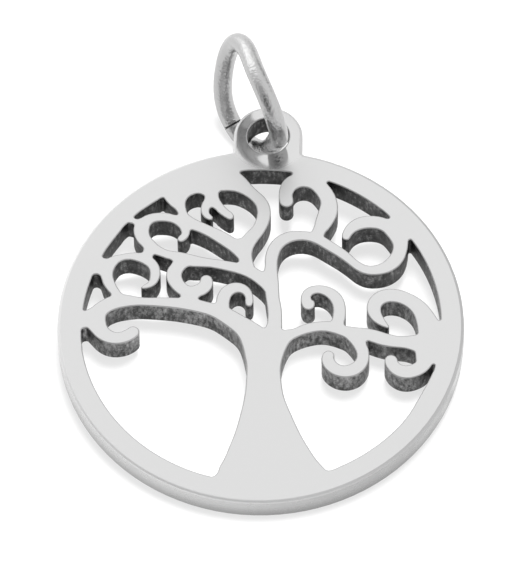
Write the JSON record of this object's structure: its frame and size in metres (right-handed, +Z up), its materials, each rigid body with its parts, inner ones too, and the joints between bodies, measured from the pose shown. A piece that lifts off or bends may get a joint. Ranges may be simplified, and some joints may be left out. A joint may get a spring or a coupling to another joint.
{
  "type": "tree of life pendant",
  "caption": "Round pierced plate with a spreading tree inside its rim, a pierced lug at the top edge and an open jump ring linked through it.",
  "frame": {"origin": "centre of the bounding box on the surface that the pendant lies on", "axes": "+Z up, +Y from the disc towards its lug, +X to the right as the front face is read with the lug at the top"},
  "size_m": [0.02, 0.0252, 0.0073],
  "materials": {
    "plate_steel": "polished face, dark cut walls",
    "wire_steel": "polished wire"
  },
  "bodies": {
    "root": {"tree_disc": "plate_steel", "jump_ring": "wire_steel"}
  },
  "joints": []
}
